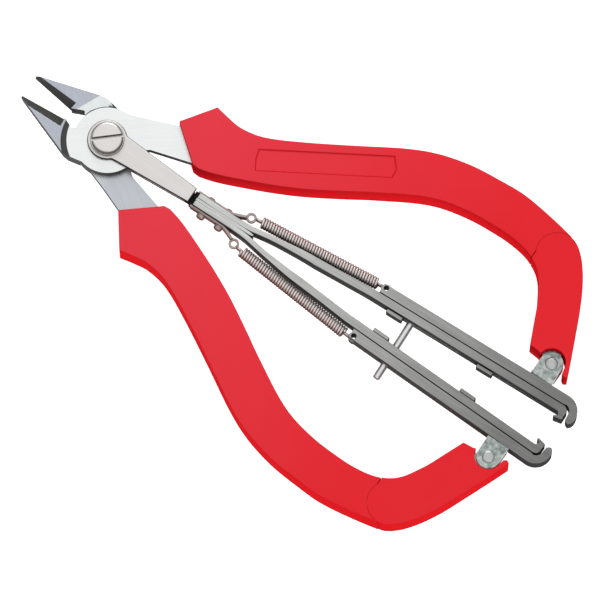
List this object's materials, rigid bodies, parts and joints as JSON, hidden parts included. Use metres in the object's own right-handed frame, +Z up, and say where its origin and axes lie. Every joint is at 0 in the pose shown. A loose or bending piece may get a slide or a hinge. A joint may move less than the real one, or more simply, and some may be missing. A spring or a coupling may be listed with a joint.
{
  "type": "flush cutter",
  "caption": "Spring-opened flush cutter with bow handles, linked at the rear to sliding hooked jaws that grip and strip wire.",
  "frame": {"origin": "on the cutter's pivot axis, in the plane that the tool rests on", "axes": "+X along the tool from the pivot to the stripper hooks, +Y to the upper handle, +Z up along the pivot axis"},
  "size_m": [0.1508, 0.086, 0.0105],
  "materials": {
    "grip_red": "satin",
    "head_steel": "polished",
    "yoke_steel": "satin",
    "screw_steel": "satin",
    "strip_steel": "satin",
    "arm_steel": "brushed",
    "bracket_zinc": "bright zinc plated",
    "spring_wire": "bright",
    "anchor_steel": "satin"
  },
  "bodies": {
    "yoke": {"pivot_screw": "screw_steel", "pivot_washer": "screw_steel", "pivot_nut": "screw_steel", "yoke_top_leaf": "yoke_steel", "yoke_bottom_leaf": "yoke_steel", "yoke_block": "yoke_steel", "root_rivets": "anchor_steel", "upper_flex_strip": "strip_steel", "lower_flex_strip": "strip_steel", "upper_spring_anchor": "anchor_steel", "lower_spring_anchor": "anchor_steel"},
    "upper_handle": {"upper_lever": "head_steel", "upper_grip": "grip_red", "upper_knuckle_pin": "screw_steel"},
    "lower_handle": {"lower_lever": "head_steel", "lower_grip": "grip_red", "lower_knuckle_pin": "screw_steel"},
    "upper_link": {"upper_link_core": "strip_steel", "upper_link_cover": "grip_red"},
    "lower_link": {"lower_link_core": "strip_steel", "lower_link_cover": "grip_red"},
    "upper_arm": {"upper_gripper_bar": "arm_steel", "upper_return_spring": "spring_wire"},
    "lower_arm": {"lower_gripper_bar": "arm_steel", "lower_return_spring": "spring_wire"},
    "upper_slider": {"upper_slider_bar": "arm_steel", "upper_guide_tabs": "arm_steel", "upper_clevis_bracket": "bracket_zinc", "upper_bracket_pin": "bracket_zinc", "guide_pin": "screw_steel"},
    "lower_slider": {"lower_slider_bar": "arm_steel", "lower_guide_tabs": "arm_steel", "lower_clevis_bracket": "bracket_zinc", "lower_bracket_pin": "bracket_zinc"}
  },
  "joints": [
    {"name": "upper_handle_hinge", "type": "hinge", "parent": "yoke", "child": "upper_handle", "pos_m": [0, 0, 0], "axis": [0, 0, 1], "range_deg": [-6.2, 0], "stiffness_Nm_per_rad": 9, "springref_deg": 4.01},
    {"name": "lower_handle_hinge", "type": "hinge", "parent": "yoke", "child": "lower_handle", "pos_m": [0, 0, 0], "axis": [0, 0, 1], "range_deg": [0, 6.2]},
    {"name": "upper_link_hinge", "type": "hinge", "parent": "upper_handle", "child": "upper_link", "pos_m": [0.1028, 0.0355, 0], "axis": [0, 0, 1], "range_deg": [0, 34.27]},
    {"name": "lower_link_hinge", "type": "hinge", "parent": "lower_handle", "child": "lower_link", "pos_m": [0.1028, -0.0355, 0], "axis": [0, 0, 1], "range_deg": [-34.27, 0]},
    {"name": "upper_arm_flex", "type": "hinge", "parent": "yoke", "child": "upper_arm", "pos_m": [0.0385, 0.00105, 0], "axis": [0, 0, 1], "range_deg": [-1.91, 0], "deforming": ["upper_flex_strip"]},
    {"name": "lower_arm_flex", "type": "hinge", "parent": "yoke", "child": "lower_arm", "pos_m": [0.0385, -0.00105, 0], "axis": [0, 0, 1], "range_deg": [0, 1.91], "deforming": ["lower_flex_strip"]},
    {"name": "upper_slide", "type": "slide", "parent": "upper_arm", "child": "upper_slider", "axis": [0.9995, 0.0305, 0], "range_m": [0, 0.0118], "deforming": ["upper_return_spring"]},
    {"name": "lower_slide", "type": "slide", "parent": "lower_arm", "child": "lower_slider", "axis": [0.9995, -0.0305, 0], "range_m": [0, 0.0118], "deforming": ["lower_return_spring"]}
  ],
  "couplings": [
    {"joint": "lower_handle_hinge", "follows": "upper_handle_hinge", "ratio": -1},
    {"joint": "upper_link_hinge", "follows": "upper_handle_hinge", "ratio": -5.5194},
    {"joint": "lower_link_hinge", "follows": "upper_handle_hinge", "ratio": 5.5194},
    {"joint": "upper_arm_flex", "follows": "upper_handle_hinge", "ratio": 0.30645},
    {"joint": "lower_arm_flex", "follows": "upper_handle_hinge", "ratio": -0.30645},
    {"joint": "upper_slide", "follows": "upper_handle_hinge", "m_per_rad": -0.10881},
    {"joint": "lower_slide", "follows": "upper_handle_hinge", "m_per_rad": -0.10881}
  ]
}
